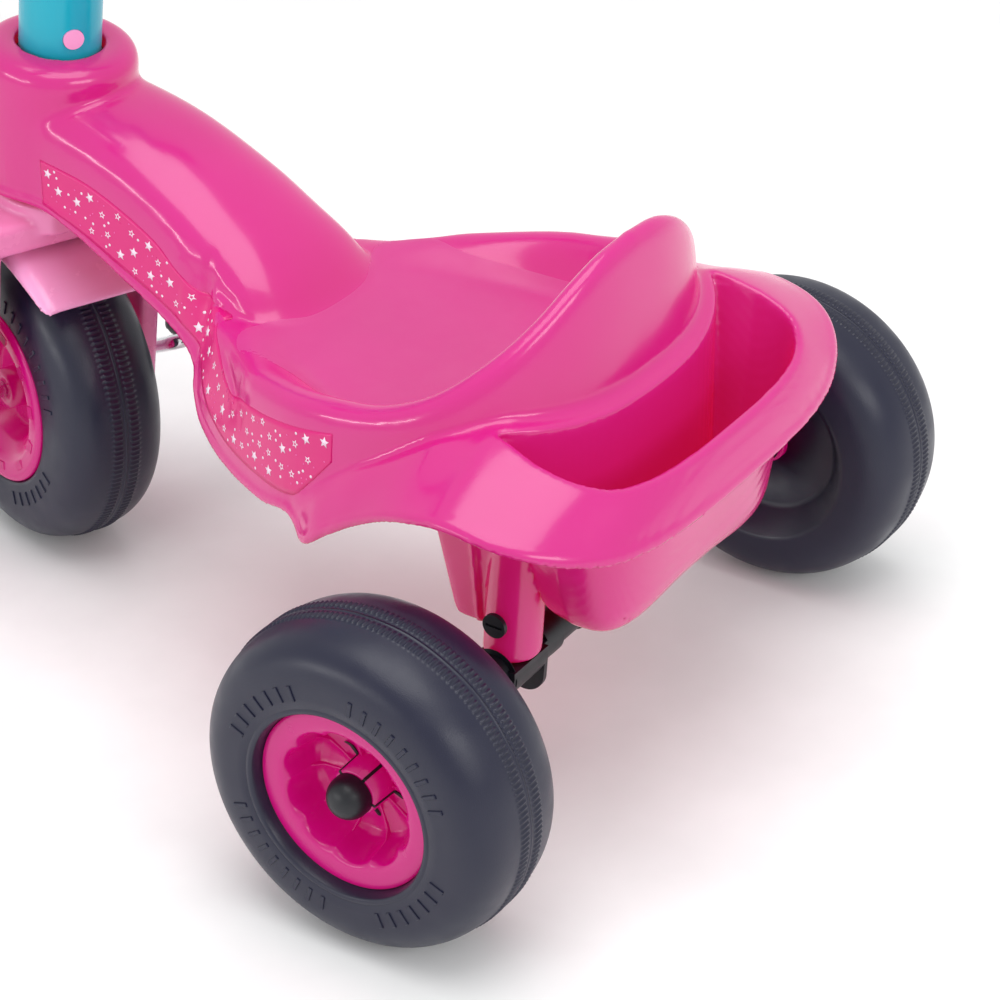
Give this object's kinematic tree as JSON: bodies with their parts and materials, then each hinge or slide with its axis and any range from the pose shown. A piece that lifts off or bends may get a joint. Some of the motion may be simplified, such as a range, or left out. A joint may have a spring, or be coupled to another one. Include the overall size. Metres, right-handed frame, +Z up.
{
  "type": "children's tricycle",
  "caption": "Child's ride-on tricycle: moulded seat body with rear basket, raked steering, pedal-driven front wheel and plastic tyres.",
  "frame": {"origin": "on the floor, under the middle of the bounding box", "axes": "+Z up, -Y the way it rides, +X the rider's left"},
  "size_m": [0.495, 0.6187, 0.5412],
  "materials": {
    "body_pink": "glossy moulded",
    "light_pink": "glossy moulded",
    "sticker": "printed vinyl",
    "cyan": "glossy moulded",
    "tyre": "satin blow-moulded",
    "black": "satin moulded",
    "chrome": "plated",
    "steel": "zinc plated"
  },
  "bodies": {
    "frame": {"body_shell": "body_pink", "side_sticker_left": "sticker", "side_sticker_right": "sticker", "head_bush_upper": "black", "head_bush_lower": "black", "rear_axle_beam": "black", "rear_axle_rod": "steel", "leg_pins": "black", "axle_cap_left": "black", "axle_cap_right": "black"},
    "steering": {"fork": "body_pink", "front_fender": "light_pink", "fender_screws": "steel", "steering_stem": "cyan", "handlebar": "cyan", "grip_left": "body_pink", "grip_right": "body_pink", "stem_screw": "steel", "stem_screw_cap": "light_pink", "fork_bush_left": "black", "fork_bush_right": "black"},
    "front_wheel": {"front_tyre": "tyre", "front_hub": "body_pink", "crank": "chrome", "pedal_cap_left": "black", "pedal_cap_right": "black"},
    "pedal_left": {"pedal_left": "black"},
    "pedal_right": {"pedal_right": "black"},
    "rear_wheel_left": {"rear_tyre_left": "tyre", "rear_hub_left": "body_pink"},
    "rear_wheel_right": {"rear_tyre_right": "tyre", "rear_hub_right": "body_pink"}
  },
  "joints": [
    {"name": "steer", "type": "hinge", "parent": "frame", "child": "steering", "pos_m": [0, -0.15316, 0.29805], "axis": [0, 0.1392, 0.9903], "range_deg": [-26, 64]},
    {"name": "front_wheel_spin", "type": "hinge", "parent": "steering", "child": "front_wheel", "pos_m": [-0.00358, -0.19145, 0.10041], "axis": [0.9455, -0.3224, 0.0453], "continuous": true},
    {"name": "pedal_left_spin", "type": "hinge", "parent": "front_wheel", "child": "pedal_left", "pos_m": [0.08709, -0.26925, 0.08239], "axis": [0.9455, -0.3224, 0.0453], "continuous": true},
    {"name": "pedal_right_spin", "type": "hinge", "parent": "front_wheel", "child": "pedal_right", "pos_m": [-0.09425, -0.11364, 0.11844], "axis": [0.9455, -0.3224, 0.0453], "continuous": true},
    {"name": "rear_wheel_left_spin", "type": "hinge", "parent": "frame", "child": "rear_wheel_left", "pos_m": [0.21, 0.217, 0.0925], "axis": [1, 0, 0], "continuous": true},
    {"name": "rear_wheel_right_spin", "type": "hinge", "parent": "frame", "child": "rear_wheel_right", "pos_m": [-0.21, 0.217, 0.0925], "axis": [1, 0, 0], "continuous": true}
  ]
}
